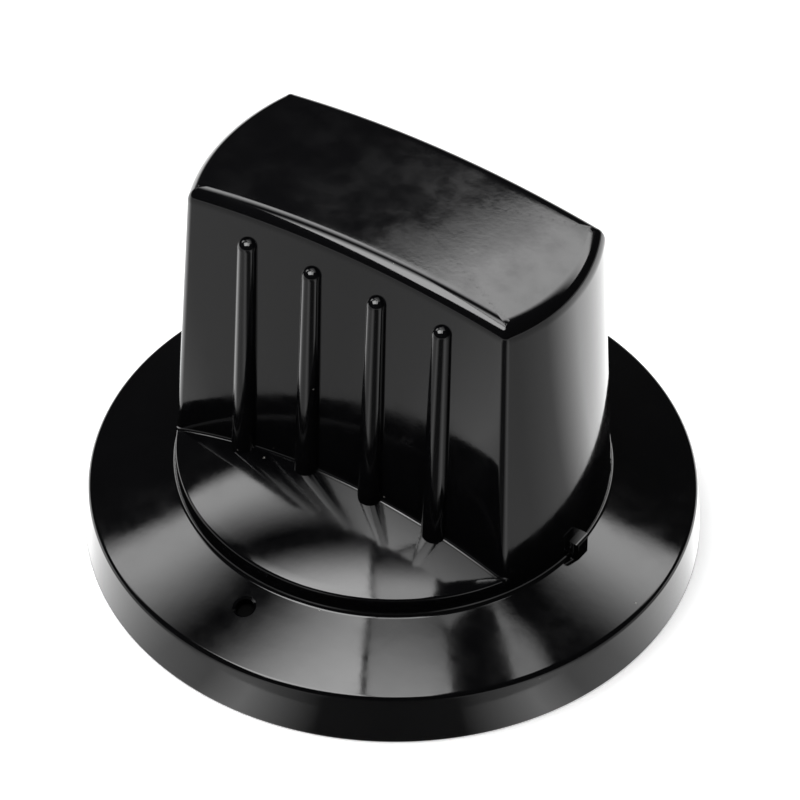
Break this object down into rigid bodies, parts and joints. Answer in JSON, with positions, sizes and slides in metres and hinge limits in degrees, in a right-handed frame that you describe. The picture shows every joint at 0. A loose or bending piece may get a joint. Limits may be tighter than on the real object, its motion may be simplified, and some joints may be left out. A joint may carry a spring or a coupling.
{
  "type": "oven control knob",
  "caption": "Round skirted oven knob with a domed hub, a tall arched grip bar with finger ribs, an index recess, and a hollow back with a boss for a D-shaped shaft.",
  "frame": {"origin": "centre of the skirt's lower rim, on the turning axis", "axes": "+Z along the turning axis, away from the appliance's panel; +X along the grip bar, to the end with the nib; +Y across the bar, to the socket's flat"},
  "size_m": [0.0644, 0.0644, 0.046],
  "materials": {
    "black_moulding": "high gloss, moulded",
    "spring_steel": "rolled strip, satin"
  },
  "bodies": {
    "root": {"knob_body": "black_moulding", "shaft_spring": "spring_steel"}
  },
  "joints": []
}
